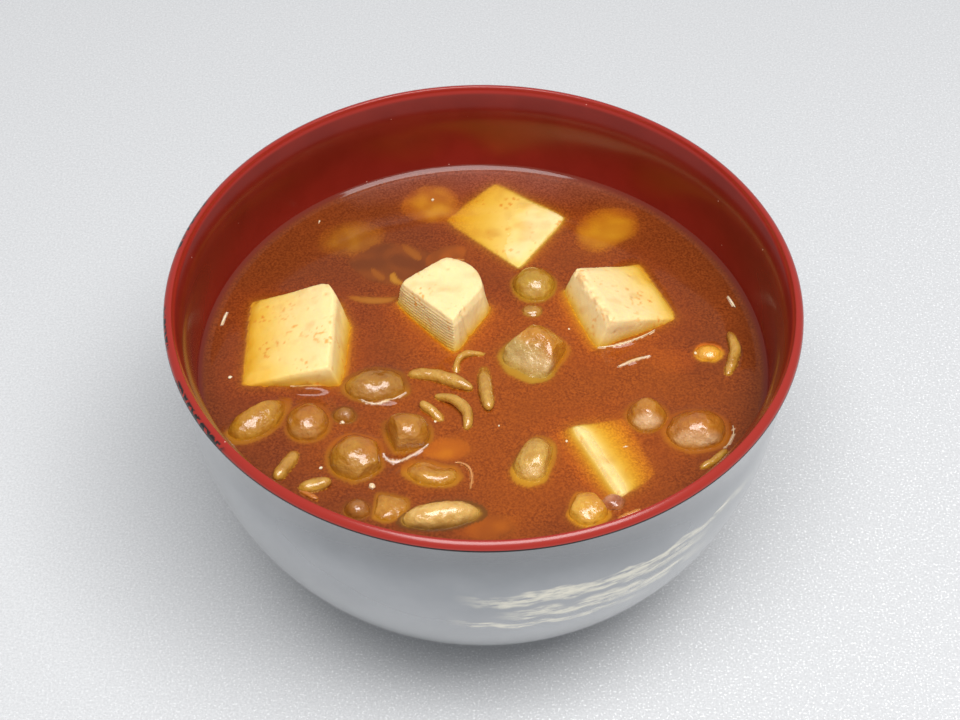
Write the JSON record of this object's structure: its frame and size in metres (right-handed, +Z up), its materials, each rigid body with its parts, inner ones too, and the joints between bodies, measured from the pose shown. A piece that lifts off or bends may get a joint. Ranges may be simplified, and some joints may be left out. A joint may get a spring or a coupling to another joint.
{
  "type": "miso soup",
  "caption": "Japanese miso soup with silken tofu cubes and nameko mushrooms, in a round lacquered soup bowl, red inside and grey outside.",
  "frame": {"origin": "centre of the bowl's foot, on the surface that the bowl stands on", "axes": "+Z up through the middle of the bowl, -Y towards the diner, +X to the diner's right"},
  "size_m": [0.116, 0.116, 0.068],
  "materials": {
    "lacquer": "gloss lacquer, vermilion red inside and on the lip, blue-grey outside with faint pale brush strokes",
    "broth": "cloudy red-brown broth with a wet shine",
    "tofu": "moist, satin, cream, stained orange at the waterline",
    "nameko": "slimy, translucent amber-brown, very glossy"
  },
  "bodies": {
    "root": {"bowl": "lacquer", "cap_back": "nameko", "cap_curled": "nameko", "cap_cut": "nameko", "cap_flat_front": "nameko", "cap_folded": "nameko", "cap_large": "nameko", "cap_long_front": "nameko", "cap_oval": "nameko", "cap_pale_front": "nameko", "cap_right": "nameko", "cap_round": "nameko", "cap_small_front": "nameko", "cap_small_left": "nameko", "cap_small_right": "nameko", "cap_upright": "nameko", "cap_wedge": "nameko", "cap_wide_right": "nameko", "soup": "broth", "stem_left_front": "nameko", "stem_left_wall": "nameko", "stem_oval": "nameko", "stem_right_wall": "nameko", "stem_upright": "nameko", "strip_arch": "nameko", "strip_right_front": "nameko", "strip_stub": "nameko", "strip_thin": "nameko", "tofu_back": "tofu", "tofu_front": "tofu", "tofu_left": "tofu", "tofu_middle": "tofu", "tofu_right": "tofu"}
  },
  "joints": []
}
